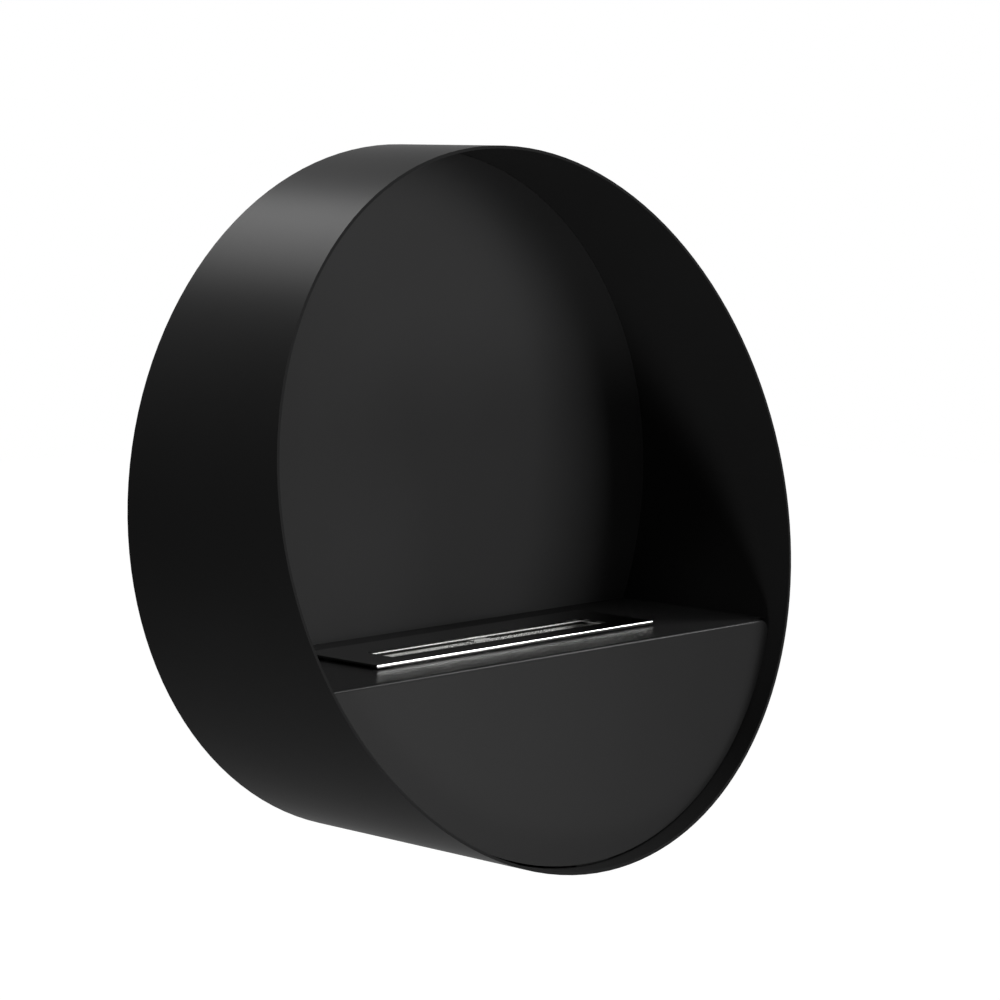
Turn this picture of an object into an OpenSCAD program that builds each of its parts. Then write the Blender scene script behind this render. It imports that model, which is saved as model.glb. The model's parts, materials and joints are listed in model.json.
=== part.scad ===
// Round wall-hung bioethanol fireplace: a rolled steel drum with a slanting front, a folded hearth,
// and a lift-out stainless burner whose slot is shut by a sliding snuffer plate.
// Millimetres. The wall is the plane y = 0, the drum's axis is the Y axis, and the front faces -Y.

/* [Drum] */
// Outside diameter of the drum
drum_d = 600; // [520:5:720]
// Depth from the wall to the front rim at the top
depth_top = 125; // [110:1:160]
// Depth from the wall to the front rim at the bottom
depth_bottom = 258; // [235:1:320]
// Sheet thickness of the drum
drum_t = 2.5; // [1.5:0.1:3.5]
// Distance from the wall to the back panel
wall_gap = 20; // [18:0.5:30]
// Sheet thickness of the back panel
panel_t = 1.5; // [1:0.1:2.5]
// Length of the back panel's turned rim
panel_rim = 15; // [6:1:17]

/* [Hearth] */
// Height of the deck below the drum's axis
deck_drop = 123.3; // [110:0.1:150]
// Sheet thickness of the deck and fascia
hearth_t = 2; // [1:0.1:3]
// Distance of the fascia behind the front rim, along Y
fascia_recess = 16.5; // [8:0.5:24]
// Outside radius of the fold between deck and fascia
fold_r = 3.2; // [2.8:0.1:6]
// Radial gap between the fascia and the drum
fascia_gap = 2; // [1:0.1:4]
// Corner radius at the fascia's two top corners
fascia_corner = 8; // [4:0.5:14]

/* [Burner] */
// Length of the top plate beyond the slot at each end
plate_end = 36.5; // [36:0.5:50]
// Width of the burner's top plate
plate_w = 91; // [88:0.5:94]
// Sheet thickness of the top plate
plate_t = 1.5; // [1:0.1:2]
// Height of the top plate's surface above the deck
plate_lift = 4.1; // [3.8:0.1:6]
// Distance from the back panel to the top plate's rear edge
plate_back = 41.5; // [36:0.5:50]
// Height of the plate's folded front nose
nose_h = 3.7; // [3.4:0.1:3.8]
// Depth of the plate's folded front nose
nose_w = 5; // [4.2:0.1:6]
// Length of the flame slot
slot_l = 259; // [240:1:280]
// Width of the flame slot
slot_w = 31.5; // [24:0.5:32]
// Plate margin in front of the slot
slot_front = 21.5; // [19:0.5:23]
// Height of the rim that lines the slot under the plate
rim_h = 1; // [0.8:0.1:2]
// Depth of the fuel tank
tank_h = 46; // [36:1:60]
// Sheet thickness of the tank and its lid
tank_t = 1; // [0.8:0.1:1.4]

/* [Snuffer] */
// Thickness of the snuffer plate
snuffer_t = 1; // [0.8:0.1:1.4]
// Width of the snuffer's finger tab
tab_w = 20; // [12:0.5:24]
// Length of the snuffer's finger tab
tab_l = 7; // [5:0.5:8]

/* [Wall fixing] */
// Side-to-side spacing of the wall screws
screw_span_x = 240; // [180:5:260]
// Up-and-down spacing of the wall screws
screw_span_z = 280; // [250:5:290]
// Radius of the wall screw holes
screw_hole_r = 3.25; // [2.5:0.25:4]
// Length of the wall rail, the hanger rail and the lower channel
rail_l = 300; // [280:5:320]
// Sheet thickness of the rails
rail_t = 2; // [1.5:0.1:2.5]
// Inside radius of the bends in rails and angles
bend_r = 1.2; // [0.8:0.1:2]

/* [Hidden] */
$fn = 96;
cut = 10;                // overrun of every cut
seat_gap = 0.3;          // clearance between curved seats
stud_r = 2.45;           // shank of every M5 stud and screw
stud_hole_r = 2.8;       // clearance hole for them
nut_bore_r = 2.5;
nut_af = 8;              // across the flats
nut_h = 4;

drum_r = drum_d / 2;
bore_r = drum_r - drum_t;
mid_depth = (depth_top + depth_bottom) / 2;
slope = (depth_bottom - depth_top) / drum_d;
tilt = atan(slope);
panel_y = -wall_gap - panel_t;           // front face of the back panel
panel_r = bore_r - seat_gap;

deck_z = -deck_drop;
deck_under = deck_z - hearth_t;
deck_back = panel_y - seat_gap;
fascia_r = bore_r - fascia_gap;
fold_z = deck_z - fold_r;                // centre of the fold's radius
fold_y = -mid_depth + fascia_recess + slope * fold_z + fold_r / cos(tilt);
fold_steps = 10;
bend_steps = 6;
fold_run = 6;                            // deck kept to the fascia's outline behind the fold

plate_l = slot_l + 2 * plate_end;
plate_top = deck_z + plate_lift;
plate_rear = panel_y - plate_back;
plate_fore = plate_rear - plate_w;
plate_under = plate_top - plate_t;
slot_fore = plate_fore + slot_front;
slot_rear = slot_fore + slot_w;
nose_r = 1.5;
rim_w = 4;                               // width of the rim under the plate
rim_under = plate_under - rim_h;

snuffer_play = 0.3;                      // clearance all round the sliding plate
snuffer_head = 1;                        // clear height over it
snuffer_open = 0.5;                      // how far it stands behind the slot when open
snuffer_lap = 1;                         // cover in front of the slot when shut
snuffer_short = 4.5;                     // its rear edge stays this far in front of the plate's
channel_h = snuffer_play + snuffer_t + snuffer_head;
snuffer_parked = slot_rear + snuffer_open;
snuffer_w = plate_rear - snuffer_short - snuffer_parked;
snuffer_side = 4;                        // its ends' cover beyond the slot
snuffer_l = slot_l + 2 * snuffer_side;
snuffer_z = rim_under - snuffer_head - snuffer_t;
tab_lip = snuffer_head - snuffer_play;   // the tab's upturned end
dimple_r = 3.5;
dimple_depth = 0.5;
guide_w = 9;
guide_x = snuffer_l / 2 + snuffer_play;

lid_top = rim_under - channel_h;
lid_under = lid_top - tank_t;
tank_l = snuffer_l + 2 * snuffer_play + 2 * guide_w;
tank_rear_inset = 4;
tank_fore_inset = 9;
tank_rear = plate_rear - tank_rear_inset;
tank_fore = plate_fore + tank_fore_inset;
tank_w = tank_rear - tank_fore;
tank_mid = (tank_rear + tank_fore) / 2;
tank_corner = 6;
tank_floor = lid_under - tank_h;
collar_h = 1.2;                          // down-turned neck round the slot
well_gap = 2;                            // clearance round the tank in the deck
well_corner = tank_corner + well_gap;
well_l = tank_l + 2 * well_gap;
well_w = tank_w + 2 * well_gap;

screen_t = 1;
screen_z = lid_under - collar_h - seat_gap;    // top of the perforated screen
screen_lip = 2.5;
screen_cols = 33;
screen_rows = 5;
screen_hole_share = 0.33;                // hole radius as a share of the hole pitch
screen_fn = 24;
wool_gap = 0.5;

pad_r = 4;
pad_x = (plate_l / 2 + well_l / 2) / 2;
pad_y = tank_w / 2 - pad_r;

bearer_t = 1.5;
bearer_out = 34;                         // width of the shelf under the deck's edge
bearer_drop = 22;
bearer_fore_inset = 10;
bearer_rear_inset = 8;
bearer_fore = plate_fore + bearer_fore_inset;
bearer_rear = plate_rear - bearer_rear_inset;
bearer_x = sqrt(pow(panel_r, 2) - pow(deck_under, 2));
stud_edge = 3;                           // studs stand this far off the shelf's middle
stud_inset = 16;                         // studs' distance from the shelf's ends
deck_stud_x = bearer_x - bearer_out / 2 - stud_edge;
deck_stud_l = 10;
angle_w = 18;
angle_l = plate_l;
foot_w = 40;                             // bracket that holds the fascia's foot
foot_leg = 24;
foot_rise = 26;                          // stud above the fascia's lowest point
fascia_foot_z = -fascia_r + foot_rise;

screw_z = screw_span_z / 2;
rail_half = 20;
rail_base_low = screw_z - rail_half;
rail_top = screw_z + rail_half;
rail_leg_up = 18;
rail_leg_share = 0.65;                   // wall rail's upright, as a share of the wall gap
rail_leg_y = -wall_gap * rail_leg_share;
hook_z = rail_top + rail_leg_up;         // where the hanger bears on the wall rail
hook_gap = 1;
hook_leg_y = rail_leg_y + rail_t + hook_gap;
hook_drop = 14;
hanger_up = 26;
hanger_stud_inset = 30;
hanger_stud_x = rail_l / 2 - hanger_stud_inset;
hanger_stud_z = hook_z + (hanger_up + rail_t) / 2;
hanger_stud_l = 9;
channel_flange = 26;
channel_top = -screw_z - channel_flange / 2;   // top of the channel's crown
channel_crown = 32;
channel_t = 1.5;
lock_inset = 60;
lock_x = rail_l / 2 - lock_inset;
lock_z = channel_top - channel_crown / 2;
lock_head_r = 4.75;
lock_head_h = 3;
lock_end = 2;                            // screw beyond its nut
lock_len = panel_t + channel_t + nut_h + lock_end;
socket_share = 0.7;                      // hexagon socket, as a share of the shank

black = [0.10, 0.10, 0.10];
steel = [0.75, 0.75, 0.74];
zinc = [0.62, 0.64, 0.66];

// A profile drawn in (y, z) and run along X, centred on the axis
module along_x(length) {
    translate([-length / 2, 0, 0]) rotate([90, 0, 90]) linear_extrude(length) children();
}

// An outline drawn in (x, z) and run from y = start towards the front
module along_y(start, length) {
    translate([0, start, 0]) rotate([90, 0, 0]) linear_extrude(length) children();
}

// The vector v turned by a degrees, and the unit vector from point a to point b
function turned(v, a) = [v[0] * cos(a) - v[1] * sin(a), v[0] * sin(a) + v[1] * cos(a)];
function heading(a, b) = (b - a) / norm(b - a);

// Points of one face of a bent sheet round corner i of its centre line; side is 1 left of it, -1 right
function bend_face(line, i, t, side) = let(
    arrive = heading(line[i - 1], line[i]),
    leave = heading(line[i], line[i + 1]),
    hand = sign(cross(arrive, leave)),
    angle = acos(arrive * leave),
    mid_r = bend_r + t / 2,
    start = line[i] - arrive * mid_r * tan(angle / 2),
    centre = start + hand * mid_r * turned(arrive, 90))
    [for (k = [0 : bend_steps])
        centre + turned(start - centre, hand * angle * k / bend_steps) * (1 - side * hand * t / 2 / mid_r)];

function sheet_face(line, t, side) = let(last = len(line) - 1) concat(
    [line[0] + side * t / 2 * turned(heading(line[0], line[1]), 90)],
    [for (i = [1 : last - 1]) each bend_face(line, i, t, side)],
    [line[last] + side * t / 2 * turned(heading(line[last - 1], line[last]), 90)]);

// Section of a sheet of thickness t, bent along a centre line of straight runs
module bent_sheet(line, t) {
    left = sheet_face(line, t, 1);
    right = sheet_face(line, t, -1);
    polygon(concat(left, [for (i = [len(right) - 1 : -1 : 0]) right[i]]));
}

// A round bar or hole along Y, from y = start towards the front
module bar_y(start, length, r) {
    translate([0, start, 0]) rotate([90, 0, 0]) cylinder(h = length, r = r);
}

// Everything in front of the sloping plane that crosses the axis at y
module in_front_of(y) {
    translate([0, y, 0]) rotate([-tilt, 0, 0])
        translate([-drum_d, -2 * drum_d, -drum_d]) cube([2 * drum_d, 2 * drum_d, 2 * drum_d]);
}

module rounded_rect(length, width, r) {
    square([length - 2 * r, width], center = true);
    square([length, width - 2 * r], center = true);
    for (x = [-1, 1], y = [-1, 1])
        translate([x * (length / 2 - r), y * (width / 2 - r)]) circle(r);
}

module box_at(x0, x1, y0, y1, z0, z1) {
    translate([x0, y0, z0]) cube([x1 - x0, y1 - y0, z1 - z0]);
}

// Hexagon nut whose axis is the local Z axis, standing on z = 0
module hex_nut() {
    difference() {
        cylinder(h = nut_h, r = nut_af / sqrt(3), $fn = 6);
        translate([0, 0, -cut]) cylinder(h = nut_h + 2 * cut, r = nut_bore_r);
    }
}

module drum_shell() {
    color(black) difference() {
        bar_y(0, depth_bottom, drum_r);
        bar_y(cut, depth_bottom + 2 * cut, bore_r);
        in_front_of(-mid_depth);
    }
}

module back_panel() {
    color(black) difference() {
        union() {
            bar_y(-wall_gap, panel_t, panel_r);
            difference() {
                bar_y(-wall_gap + panel_rim, panel_rim, panel_r);
                bar_y(0, wall_gap, panel_r - panel_t);
            }
        }
        for (x = [-lock_x, lock_x])
            translate([x, 0, lock_z]) bar_y(0, wall_gap + cut, stud_hole_r);
    }
}

// Outline of the fascia in (x, z): a segment of a circle with its top corners rounded
module fascia_outline() {
    corner_z = deck_z - fascia_corner;
    corner_x = sqrt(pow(fascia_r - fascia_corner, 2) - pow(corner_z, 2));
    reach = 2 * fascia_corner;
    out = [corner_x, corner_z] / (fascia_r - fascia_corner) * reach;
    difference() {
        circle(fascia_r);
        translate([-drum_r, deck_z]) square([drum_d, drum_d]);
        for (side = [-1, 1]) scale([side, 1])
            translate([corner_x, corner_z]) difference() {
                polygon([[0, 0], [0, reach], out + [0, reach], out]);
                circle(fascia_corner);
            }
    }
}

// Points along the fold at radius r, from the deck's plane to the fascia's
function fold_arc(r) = [for (i = [0 : fold_steps])
    r * [cos(90 + i / fold_steps * (90 - tilt)), sin(90 + i / fold_steps * (90 - tilt))]];

// Section of the folded hearth sheet in (y, z)
module hearth_section() {
    down = -drum_r * [sin(tilt), cos(tilt)];
    outside = fold_arc(fold_r);
    inside = [for (i = [fold_steps : -1 : 0]) fold_arc(fold_r - hearth_t)[i]];
    deck_end = [deck_back - fold_y, 0];
    translate([fold_y, fold_z])
        polygon(concat([outside[0] + deck_end], outside, [outside[fold_steps] + down],
                       [inside[0] + down], inside, [inside[fold_steps] + deck_end]));
}

module hearth_panel() {
    color(black) difference() {
        intersection() {
            along_x(drum_d) hearth_section();
            union() {
                along_y(deck_back, depth_bottom) fascia_outline();
                intersection() {
                    box_at(-drum_d, drum_d, fold_y + fold_run, deck_back, deck_under, deck_z + cut);
                    bar_y(0, depth_bottom, panel_r);
                }
            }
        }
        translate([0, tank_mid, deck_under - cut])
            linear_extrude(hearth_t + 2 * cut) rounded_rect(well_l, well_w, well_corner);
    }
}

// Shelf bent from a plate that follows the drum's wall
module bearer(side) {
    color(black) scale([side, 1, 1]) difference() {
        intersection() {
            bar_y(0, depth_bottom, panel_r);
            union() {
                box_at(bearer_x - bearer_out, drum_r, bearer_fore, bearer_rear,
                       deck_under - bearer_t, deck_under);
                difference() {
                    box_at(0, drum_r, bearer_fore, bearer_rear, deck_under - bearer_drop, deck_under);
                    bar_y(0, depth_bottom, panel_r - bearer_t);
                }
            }
        }
        for (y = deck_stud_ys()) translate([deck_stud_x, y, deck_under - cut])
            cylinder(h = 2 * cut, r = stud_hole_r);
    }
}

function deck_stud_ys() = [bearer_fore + stud_inset, bearer_rear - stud_inset];

module deck_studs() {
    color(zinc) for (x = [-deck_stud_x, deck_stud_x], y = deck_stud_ys())
        translate([x, y, deck_under - deck_stud_l]) cylinder(h = deck_stud_l, r = stud_r);
}

module deck_nuts() {
    color(zinc) for (x = [-deck_stud_x, deck_stud_x], y = deck_stud_ys())
        translate([x, y, deck_under - bearer_t - nut_h]) hex_nut();
}

module rear_angle() {
    upright = panel_y - bearer_t / 2;
    shelf = deck_under - bearer_t / 2;
    color(black) along_x(angle_l)
        bent_sheet([[upright, deck_under - angle_w], [upright, shelf], [panel_y - angle_w, shelf]], bearer_t);
}

// Turns a piece so that its local Z axis points backwards off the fascia's rear face
module off_fascia(z) {
    y = -mid_depth + fascia_recess + slope * z;
    translate([0, y, z]) rotate([-90 - tilt, 0, 0]) translate([0, 0, hearth_t]) children();
}

module fascia_bracket() {
    color(black) difference() {
        intersection() {
            bar_y(0, depth_bottom, fascia_r + fascia_gap - seat_gap);
            union() {
                off_fascia(fascia_foot_z) translate([-foot_w / 2, -foot_leg / 2, 0])
                    cube([foot_w, 2 * foot_leg, bearer_t]);
                difference() {
                    off_fascia(fascia_foot_z) translate([-foot_w / 2, 0, 0])
                        cube([foot_w, 2 * foot_leg, 2 * foot_leg]);
                    bar_y(0, depth_bottom, fascia_r + fascia_gap - seat_gap - bearer_t);
                }
            }
        }
        off_fascia(fascia_foot_z) translate([0, 0, -cut]) cylinder(h = 2 * cut, r = stud_hole_r);
    }
}

module fascia_stud() {
    color(zinc) off_fascia(fascia_foot_z) cylinder(h = deck_stud_l, r = stud_r);
}

module fascia_nut() {
    color(zinc) off_fascia(fascia_foot_z) translate([0, 0, bearer_t]) hex_nut();
}

module hanger_rail() {
    back = -wall_gap + rail_t / 2;
    web = hook_z + rail_t / 2;
    leg = hook_leg_y + rail_t / 2;
    color(zinc) difference() {
        along_x(rail_l)
            bent_sheet([[back, hook_z + hanger_up], [back, web], [leg, web], [leg, hook_z - hook_drop]],
                       rail_t);
        for (x = [-hanger_stud_x, 0, hanger_stud_x])
            translate([x, 0, hanger_stud_z]) bar_y(0, wall_gap + cut, stud_hole_r);
    }
}

module hanger_studs() {
    color(zinc) for (x = [-hanger_stud_x, 0, hanger_stud_x])
        translate([x, 0, hanger_stud_z]) bar_y(hanger_stud_l - wall_gap, hanger_stud_l, stud_r);
}

module hanger_nuts() {
    color(zinc) for (x = [-hanger_stud_x, 0, hanger_stud_x])
        translate([x, -wall_gap + rail_t, hanger_stud_z]) rotate([-90, 0, 0]) hex_nut();
}

module wall_rail() {
    base = -rail_t / 2;
    web = rail_top - rail_t / 2;
    leg = rail_leg_y + rail_t / 2;
    color(zinc) difference() {
        along_x(rail_l)
            bent_sheet([[base, rail_base_low], [base, web], [leg, web], [leg, hook_z]], rail_t);
        for (x = [-1, 1]) translate([x * screw_span_x / 2, 0, screw_z])
            bar_y(cut, 2 * cut, screw_hole_r);
    }
}

module wall_channel() {
    wall = -channel_t / 2;
    crown = -wall_gap + channel_t / 2;
    high = channel_top - channel_t / 2;
    low = channel_top - channel_crown + channel_t / 2;
    color(zinc) difference() {
        along_x(rail_l)
            bent_sheet([[wall, channel_top + channel_flange], [wall, high], [crown, high], [crown, low],
                        [wall, low], [wall, low - channel_flange / 2]], channel_t);
        for (x = [-1, 1]) translate([x * screw_span_x / 2, 0, -screw_z])
            bar_y(cut, 2 * cut, screw_hole_r);
        for (x = [-lock_x, lock_x]) translate([x, -wall_gap / 2, lock_z])
            bar_y(0, wall_gap, stud_hole_r);
    }
}

module lock_screws() {
    color(zinc) for (x = [-lock_x, lock_x]) translate([x, 0, lock_z]) difference() {
        union() {
            bar_y(panel_y, lock_head_h, lock_head_r);
            bar_y(panel_y + lock_len, lock_len, stud_r);
        }
        translate([0, panel_y - lock_head_h / 2, 0]) rotate([90, 0, 0])
            cylinder(h = lock_head_h, r = stud_r * socket_share, $fn = 6);
    }
}

module lock_nuts() {
    color(zinc) for (x = [-lock_x, lock_x])
        translate([x, -wall_gap + channel_t, lock_z]) rotate([-90, 0, 0]) hex_nut();
}

// Section of the burner's top plate in (y, z), with its front edge folded down into a nose
module plate_section() {
    low = plate_top - nose_h;
    difference() {
        union() {
            translate([plate_fore + nose_r, plate_under]) square([plate_w - nose_r, plate_t]);
            translate([plate_fore, low + nose_r]) square([plate_t, nose_h - 2 * nose_r]);
            translate([plate_fore + nose_r, low]) square([nose_w - nose_r, plate_t / 2]);
            for (z = [low + nose_r, plate_top - nose_r]) translate([plate_fore + nose_r, z])
                circle(nose_r);
        }
        translate([plate_fore + plate_t, low + plate_t / 2])
            square([nose_w, plate_under - low - plate_t / 2]);
    }
}

module burner_plate() {
    color(steel) difference() {
        along_x(plate_l) plate_section();
        box_at(-slot_l / 2, slot_l / 2, slot_fore, slot_rear, plate_under - cut, plate_top + cut);
    }
}

// Stainless rim under the plate that gives the slot its deep bright edge
module slot_rim() {
    color(steel) difference() {
        box_at(-slot_l / 2 - rim_w, slot_l / 2 + rim_w, slot_fore - rim_w, slot_rear + rim_w,
               rim_under, plate_under);
        box_at(-slot_l / 2, slot_l / 2, slot_fore, slot_rear, rim_under - cut, plate_under + cut);
    }
}

// Spacer strip that guides one end of the snuffer
module guide(side) {
    color(steel) scale([side, 1, 1])
        box_at(guide_x, guide_x + guide_w, tank_fore + tank_corner, tank_rear - tank_corner,
               lid_top, plate_under);
}

module tank_lid() {
    color(steel) difference() {
        union() {
            translate([0, tank_mid, lid_under]) linear_extrude(tank_t)
                rounded_rect(tank_l, tank_w, tank_corner);
            box_at(-slot_l / 2 - tank_t, slot_l / 2 + tank_t, slot_fore - tank_t, slot_rear + tank_t,
                   lid_under - collar_h, lid_under);
        }
        box_at(-slot_l / 2, slot_l / 2, slot_fore, slot_rear, lid_under - collar_h - cut, lid_top + cut);
    }
}

module fuel_tank() {
    color(steel) translate([0, tank_mid, tank_floor]) difference() {
        linear_extrude(tank_h) rounded_rect(tank_l, tank_w, tank_corner);
        translate([0, 0, tank_t]) linear_extrude(tank_h)
            rounded_rect(tank_l - 2 * tank_t, tank_w - 2 * tank_t, tank_corner - tank_t);
    }
}

module wool_pad() {
    inset = tank_t + wool_gap;
    color([0.9, 0.89, 0.86]) translate([0, tank_mid, tank_floor + tank_t])
        linear_extrude(screen_z - screen_t - tank_floor - tank_t)
            rounded_rect(tank_l - 2 * inset, tank_w - 2 * inset, tank_corner - tank_t);
}

// Perforated sheet that lies on the wool below the collar
module wool_screen() {
    length = slot_l - 2 * screen_lip;
    width = tank_w - 2 * (tank_t + screen_lip);
    pitch_x = length / screen_cols;
    pitch_y = slot_w / screen_rows;
    color(steel) difference() {
        translate([-length / 2, tank_mid - width / 2, screen_z - screen_t]) cube([length, width, screen_t]);
        for (i = [0 : screen_cols - 1], j = [0 : screen_rows - 1])
            translate([(i + 0.5) * pitch_x - length / 2, slot_fore + (j + 0.5) * pitch_y,
                       screen_z - screen_t - cut])
                cylinder(h = screen_t + 2 * cut, r = screen_hole_share * pitch_y, $fn = screen_fn);
    }
}

module burner_pads() {
    color([0.15, 0.15, 0.15]) for (x = [-pad_x, pad_x], y = [tank_mid - pad_y, tank_mid + pad_y])
        translate([x, y, deck_z]) cylinder(h = plate_under - deck_z, r = pad_r);
}

module snuffer_plate() {
    color(steel) difference() {
        union() {
            box_at(-snuffer_l / 2, snuffer_l / 2, snuffer_parked, snuffer_parked + snuffer_w,
                   snuffer_z, snuffer_z + snuffer_t);
            box_at(-tab_w / 2, tab_w / 2, snuffer_parked - tab_l, snuffer_parked,
                   snuffer_z, snuffer_z + snuffer_t);
            box_at(-tab_w / 2, tab_w / 2, snuffer_parked - tab_l, snuffer_parked - tab_l + snuffer_t,
                   snuffer_z, snuffer_z + snuffer_t + tab_lip);
        }
        translate([0, snuffer_parked + snuffer_w / 2, snuffer_z + snuffer_t - dimple_depth])
            cylinder(h = cut, r = dimple_r);
    }
}

drum_shell();
back_panel();
hearth_panel();
bearer(-1);  // bearer_left
bearer(1);  // bearer_right
rear_angle();
deck_studs();
deck_nuts();
fascia_bracket();
fascia_stud();
fascia_nut();
hanger_rail();
hanger_studs();
hanger_nuts();
wall_rail();
wall_channel();
lock_screws();
lock_nuts();
burner_plate();
slot_rim();
guide(-1);  // guide_left
guide(1);  // guide_right
tank_lid();
fuel_tank();
wool_pad();
wool_screen();
burner_pads();
snuffer_plate();
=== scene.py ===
"""Round wall-hung bioethanol fireplace: finishes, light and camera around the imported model.

Metres and watts. The wall is the plane y = 0, the drum's axis is the Y axis and the front
faces -Y.
"""

import json
import math

import bpy
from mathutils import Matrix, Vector

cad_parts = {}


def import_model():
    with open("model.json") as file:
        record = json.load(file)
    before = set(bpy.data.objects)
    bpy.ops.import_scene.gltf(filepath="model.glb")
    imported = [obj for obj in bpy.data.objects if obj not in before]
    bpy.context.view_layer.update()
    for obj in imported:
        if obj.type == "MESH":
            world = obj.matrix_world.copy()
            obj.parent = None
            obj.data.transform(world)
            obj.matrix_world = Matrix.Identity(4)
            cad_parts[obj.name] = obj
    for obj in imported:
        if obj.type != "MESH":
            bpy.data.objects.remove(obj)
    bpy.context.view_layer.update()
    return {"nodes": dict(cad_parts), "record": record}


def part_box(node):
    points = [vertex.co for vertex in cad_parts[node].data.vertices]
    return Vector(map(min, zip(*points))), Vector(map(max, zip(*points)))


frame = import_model()

DRUM_LOW, DRUM_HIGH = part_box("drum_shell")
DRUM_MIDDLE = (DRUM_LOW + DRUM_HIGH) / 2

# Sheet edges: the small radius of a cut or folded edge, and the angle above which one shows
EDGE_RADIUS = 0.0006
THIN_EDGE_RADIUS = 0.0003
EDGE_SEGMENTS = 2
EDGE_ANGLE = math.radians(40)
SMOOTH_ANGLE = math.radians(24)
THIN_SHEETS = ("burner_plate", "slot_rim", "snuffer_plate", "tank_lid", "fuel_tank",
               "guide_left", "guide_right")
UNROUNDED = ("wool_screen", "wool_pad", "burner_pads")

# Nodes whose finish isn't that of their slot
FINISH_OF_NODE = {
    "hearth_panel": "hearth_coat",
    "back_panel": "panel_coat",
    "slot_rim": "bright_stainless",
    "burner_plate": "plate_stainless",
    "tank_lid": "lid_stainless",
    "snuffer_plate": "snuffer_steel",
}

# Grain that runs along X, and grain that has no direction
ALONG_X = (0.012, 1, 1)
EVEN = (1, 1, 1)

# The snuffer's tab, which keeps the steel's own colour while the rest of the plate has painted
# shade: half its width, and how far back from the plate's front edge
TAB_HALF = 0.010
TAB_REACH = 0.010

# Camera: its place, degrees that it looks down and turns, and its lens and sensor in millimetres
CAMERA_PLACE = (-1.9749, -2.1031, 0.3342)
CAMERA_DOWN = 6.82
CAMERA_TURN = -45.01
CAMERA_LENS = 119.08
CAMERA_SENSOR = 36
CAMERA_REACH = 60

# Lamps, all aimed at the drum's middle: name, place, width, height, power
LAMPS = (
    ("top_back", (-0.05, 2.4, 2.6), 1.6, 0.8, 400),
    ("front", (1.75, -3.0, 0.6), 1.6, 1.6, 84),
    ("edge", (2.6, -1.1, 2.3), 0.9, 0.9, 150),
    ("overhead", (0.0, -0.9, 2.6), 0.8, 0.8, 16),
    ("low_left", (-2.4, -2.6, -0.35), 0.8, 0.8, 9),
    ("low_front", (-0.85, -0.95, -1.1), 0.3, 0.3, 19),
)

# World and floor: light that the world gives, white as it is seen, and how the floor lies
WHITE = (1, 1, 1, 1)
WORLD_LIGHT = 0.05
SEEN_WHITE = 1.0
FLOOR_DROP = 2.3
FLOOR_SIZE = 40.0
FLOOR_TONE = 0.15
FLOOR_MOTTLE = 1.02


def material(name):
    """An empty node material and its node tree."""
    mat = bpy.data.materials.new(name)
    mat.use_nodes = True
    mat.node_tree.nodes.clear()
    return mat, mat.node_tree


def node(tree, kind, **inputs):
    """A new node with some of its input sockets set, named with underscores for spaces."""
    made = tree.nodes.new(kind)
    for key, value in inputs.items():
        made.inputs[key.replace("_", " ")].default_value = value
    return made


def math_node(tree, operation, *values):
    """A math node fed by links or, where a value is a number, by that number."""
    made = tree.nodes.new("ShaderNodeMath")
    made.operation = operation
    for socket, value in zip(made.inputs, values):
        if isinstance(value, (int, float)):
            socket.default_value = value
        else:
            tree.links.new(value, socket)
    return made.outputs["Value"]


def noise(tree, scale, detail, stretch=EVEN, rough=0.55):
    """Noise in object space, in cycles a metre, stretched along the axes."""
    place = tree.nodes.new("ShaderNodeTexCoord")
    mapping = node(tree, "ShaderNodeMapping", Scale=stretch)
    made = node(tree, "ShaderNodeTexNoise", Scale=scale, Detail=detail, Roughness=rough)
    tree.links.new(place.outputs["Object"], mapping.inputs["Vector"])
    tree.links.new(mapping.outputs["Vector"], made.inputs["Vector"])
    return made.outputs["Fac"]


def spread(tree, value, low, high, start=0.3, end=0.7):
    """Maps a value from start..end to low..high."""
    made = node(tree, "ShaderNodeMapRange", From_Min=start, From_Max=end, To_Min=low, To_Max=high)
    tree.links.new(value, made.inputs["Value"])
    return made.outputs["Result"]


def blend_colours(tree, value, first, second, start=0.3, end=0.7):
    """A colour between first, where the value is start, and second, where it is end."""
    ramp = tree.nodes.new("ShaderNodeValToRGB")
    for stop, place, colour in zip(ramp.color_ramp.elements, (start, end), (first, second)):
        stop.position = place
        stop.color = (*colour, 1)
    tree.links.new(value, ramp.inputs["Fac"])
    return ramp.outputs["Color"]


def bump(tree, value, strength, distance):
    """A normal that a value raises by up to distance."""
    made = node(tree, "ShaderNodeBump", Strength=strength, Distance=distance)
    tree.links.new(value, made.inputs["Height"])
    return made.outputs["Normal"]


def finish_shader(tree, colour, roughness, normal, **uniform):
    """The surface shader with its output; what is uniform is set on the shader's own sockets."""
    shader = node(tree, "ShaderNodeBsdfPrincipled", **uniform)
    out = tree.nodes.new("ShaderNodeOutputMaterial")
    tree.links.new(colour, shader.inputs["Base Color"])
    tree.links.new(roughness, shader.inputs["Roughness"])
    tree.links.new(normal, shader.inputs["Normal"])
    tree.links.new(shader.outputs["BSDF"], out.inputs["Surface"])


def black_coat(name, tone, gloss, level):
    """Satin powder coat: black with a faint haze from handling and a fine orange peel."""
    mat, tree = material(name)
    haze = noise(tree, scale=7, detail=2)
    peel = noise(tree, scale=900, detail=1)
    dark, light = tone * 0.94, tone * 1.06
    colour = blend_colours(tree, haze, (dark, dark, dark), (light, light, light * 1.01),
                           start=0.2, end=0.8)
    roughness = spread(tree, haze, gloss * 0.985, gloss * 1.015, start=0.2, end=0.8)
    finish_shader(tree, colour, roughness, bump(tree, peel, strength=0.015, distance=0.0002),
                  Metallic=0.0, Specular_IOR_Level=level)
    return mat


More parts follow.
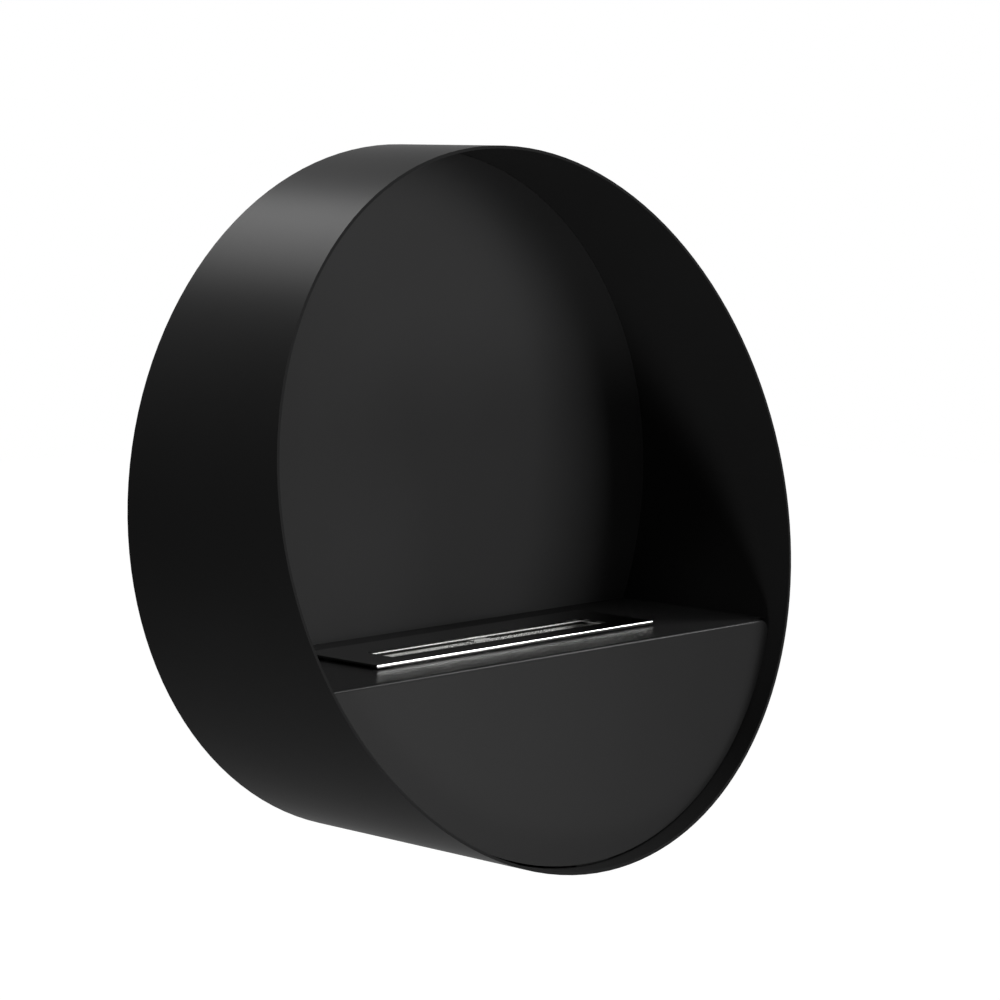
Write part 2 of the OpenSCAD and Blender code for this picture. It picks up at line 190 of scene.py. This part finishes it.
def stainless(name, dark, light, rough, scale, stretch=EVEN, relief=0.08):
    """Brushed or satin stainless sheet, a little warm, with worn and clouded gloss."""
    mat, tree = material(name)
    grain = noise(tree, scale, detail=4, stretch=stretch)
    cloud = noise(tree, scale=5, detail=1)
    colour = blend_colours(tree, grain, (dark, dark, dark * 0.99), (light, light, light * 0.98))
    wear = math_node(tree, "MULTIPLY_ADD", grain, 0.5, cloud)
    finish_shader(tree, colour, spread(tree, wear, *rough, start=0.5, end=1.0),
                  bump(tree, grain, strength=relief, distance=0.0001), Metallic=1.0)
    return mat


def shade_painted_steel(name):
    """Steel with painted shade: near black for the shadow in the gap that it lies in, left in its
    own steel colour at the tab that the hook pulls.
    """
    mat, tree = material(name)
    grain = noise(tree, scale=1400, detail=3)
    place = tree.nodes.new("ShaderNodeTexCoord")
    split = tree.nodes.new("ShaderNodeSeparateXYZ")
    tree.links.new(place.outputs["Object"], split.inputs["Vector"])
    aside = math_node(tree, "ABSOLUTE", split.outputs["X"])
    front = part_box("snuffer_plate")[0].y
    on_width = spread(tree, aside, 1.0, 0.0, start=TAB_HALF * 0.9, end=TAB_HALF * 1.2)
    on_reach = spread(tree, split.outputs["Y"], 1.0, 0.0,
                      start=front + TAB_REACH * 0.7, end=front + TAB_REACH)
    mix = tree.nodes.new("ShaderNodeMix")
    mix.data_type = "RGBA"
    # Painted shade: the near-black colour over all of the plate but the tab stands for the shadow
    # in the gap
    painted_shade = blend_colours(tree, grain, (0.010, 0.010, 0.010), (0.026, 0.024, 0.022))
    steel_colour = blend_colours(tree, grain, (0.24, 0.24, 0.24), (0.44, 0.44, 0.43))
    tree.links.new(math_node(tree, "MULTIPLY", on_width, on_reach), mix.inputs["Factor"])
    tree.links.new(painted_shade, mix.inputs["A"])
    tree.links.new(steel_colour, mix.inputs["B"])
    finish_shader(tree, mix.outputs["Result"], spread(tree, grain, 0.34, 0.5),
                  bump(tree, grain, strength=0.15, distance=0.0001), Metallic=1.0)
    return mat


def zinc(name):
    """Galvanised plate with a soft spangle."""
    mat, tree = material(name)
    spangle = noise(tree, scale=160, detail=2, rough=0.7)
    fine = noise(tree, scale=1500, detail=3)
    colour = blend_colours(tree, spangle, (0.27, 0.28, 0.295), (0.36, 0.375, 0.39))
    finish_shader(tree, colour, spread(tree, spangle, 0.3, 0.46),
                  bump(tree, fine, strength=0.08, distance=0.0002), Metallic=0.9)
    return mat


def fibre(name, dark, light, scale):
    """Matted mineral fibre."""
    mat, tree = material(name)
    clump = noise(tree, scale, detail=6, rough=0.7)
    colour = blend_colours(tree, clump, dark, light)
    finish_shader(tree, colour, spread(tree, clump, 0.85, 1.0),
                  bump(tree, clump, strength=0.8, distance=0.001), Metallic=0.0)
    return mat


def finishes():
    """Every finish by its name."""
    makers = {
        "black_coat": (black_coat, {"tone": 0.0115, "gloss": 0.37, "level": 0.003}),
        "panel_coat": (black_coat, {"tone": 0.026, "gloss": 0.40, "level": 0.02}),
        "hearth_coat": (black_coat, {"tone": 0.0095, "gloss": 0.27, "level": 0.024}),
        "bright_stainless": (stainless, {"dark": 0.55, "light": 0.98, "rough": (0.30, 0.36),
                                         "scale": 700, "relief": 0.3}),
        "lid_stainless": (stainless, {"dark": 0.26, "light": 0.46, "rough": (0.24, 0.34),
                                      "scale": 700, "relief": 0.3}),
        "snuffer_steel": (shade_painted_steel, {}),
        "plate_stainless": (stainless, {"dark": 0.21, "light": 0.25, "rough": (0.06, 0.09),
                                        "scale": 2600, "stretch": ALONG_X, "relief": 0.01}),
        "stainless": (stainless, {"dark": 0.42, "light": 0.60, "rough": (0.2, 0.3),
                                  "scale": 2600, "stretch": ALONG_X}),
        "stainless_screen": (stainless, {"dark": 0.16, "light": 0.46, "rough": (0.36, 0.5),
                                         "scale": 900}),
        "zinc": (zinc, {}),
        "ceramic_wool": (fibre, {"dark": (0.52, 0.50, 0.46), "light": (0.80, 0.79, 0.75),
                                 "scale": 700}),
        "pad_fibre": (fibre, {"dark": (0.012, 0.012, 0.012), "light": (0.035, 0.035, 0.035),
                              "scale": 900}),
    }
    return {name: make(name, **values) for name, (make, values) in makers.items()}


def round_edges(obj, radius):
    """Gives the sharp edges of a sheet their small real radius."""
    edge = obj.modifiers.new("edge", "BEVEL")
    edge.width = radius
    edge.segments = EDGE_SEGMENTS
    edge.limit_method = "ANGLE"
    edge.angle_limit = EDGE_ANGLE
    edge.harden_normals = True


def dress(materials):
    """Gives every node its finish, smooth curves and softened edges."""
    slots = {part["node"]: part["material_slot"] for part in frame["record"]["subparts"]}
    for name, obj in frame["nodes"].items():
        obj.data.materials.clear()
        obj.data.materials.append(materials[FINISH_OF_NODE.get(name, slots[name])])
        obj.data.shade_smooth()
        obj.data.set_sharp_from_angle(angle=SMOOTH_ANGLE)
        if name not in UNROUNDED:
            round_edges(obj, THIN_EDGE_RADIUS if name in THIN_SHEETS else EDGE_RADIUS)


def camera():
    """The camera at the photograph's viewing angle."""
    data = bpy.data.cameras.new("camera")
    data.sensor_width = CAMERA_SENSOR
    data.lens = CAMERA_LENS
    data.clip_end = CAMERA_REACH
    obj = bpy.data.objects.new("camera", data)
    obj.location = CAMERA_PLACE
    obj.rotation_euler = (math.radians(90 - CAMERA_DOWN), 0, math.radians(CAMERA_TURN))
    bpy.context.scene.collection.objects.link(obj)
    bpy.context.scene.camera = obj


def softbox(name, place, width, height, power):
    """A soft area lamp that looks at the drum's middle."""
    data = bpy.data.lights.new(name, "AREA")
    data.shape = "RECTANGLE"
    data.size = width
    data.size_y = height
    data.energy = power
    obj = bpy.data.objects.new(name, data)
    obj.location = place
    obj.rotation_euler = (DRUM_MIDDLE - Vector(place)).to_track_quat("-Z", "Y").to_euler()
    bpy.context.scene.collection.objects.link(obj)


def seen_by_eye(tree):
    """1 for camera, glossy and transmission rays, 0 for the rest."""
    path = tree.nodes.new("ShaderNodeLightPath")
    glass_or_gloss = math_node(tree, "MAXIMUM", path.outputs["Is Glossy Ray"],
                               path.outputs["Is Transmission Ray"])
    return math_node(tree, "MAXIMUM", path.outputs["Is Camera Ray"], glass_or_gloss)


def pick_by_eye(tree, unseen, seen):
    """One shader for what lights the part and another for what is seen."""
    mix = tree.nodes.new("ShaderNodeMixShader")
    tree.links.new(seen_by_eye(tree), mix.inputs[0])
    tree.links.new(unseen.outputs[0], mix.inputs[1])
    tree.links.new(seen.outputs[0], mix.inputs[2])
    return mix.outputs[0]


def world():
    """A dim even light that is seen as white."""
    made = bpy.data.worlds.new("studio")
    bpy.context.scene.world = made
    made.use_nodes = True
    tree = made.node_tree
    tree.nodes.clear()
    light = node(tree, "ShaderNodeBackground", Color=WHITE, Strength=WORLD_LIGHT)
    shown = node(tree, "ShaderNodeBackground", Color=WHITE, Strength=SEEN_WHITE)
    out = tree.nodes.new("ShaderNodeOutputWorld")
    tree.links.new(pick_by_eye(tree, light, shown), out.inputs["Surface"])


def floor():
    """A pale floor far under the part, whose own glow brings it up to the white behind it."""
    bpy.ops.mesh.primitive_plane_add(size=FLOOR_SIZE, location=(0, 0, DRUM_LOW.z - FLOOR_DROP))
    obj = bpy.context.object
    obj.name = "floor"
    mat, tree = material("floor")
    matt = tree.nodes.new("ShaderNodeBsdfDiffuse")
    tone = blend_colours(tree, noise(tree, scale=2, detail=3), (FLOOR_TONE,) * 3,
                         (FLOOR_TONE * FLOOR_MOTTLE,) * 3)
    dark = node(tree, "ShaderNodeEmission", Strength=0.0)
    glow = node(tree, "ShaderNodeEmission", Strength=SEEN_WHITE)
    add = tree.nodes.new("ShaderNodeAddShader")
    out = tree.nodes.new("ShaderNodeOutputMaterial")
    tree.links.new(tone, matt.inputs["Color"])
    tree.links.new(matt.outputs[0], add.inputs[0])
    tree.links.new(pick_by_eye(tree, dark, glow), add.inputs[1])
    tree.links.new(add.outputs[0], out.inputs["Surface"])
    obj.data.materials.append(mat)


bpy.context.scene.view_settings.view_transform = "Standard"
camera()
dress(finishes())
for lamp in LAMPS:
    softbox(*lamp)
world()
floor()
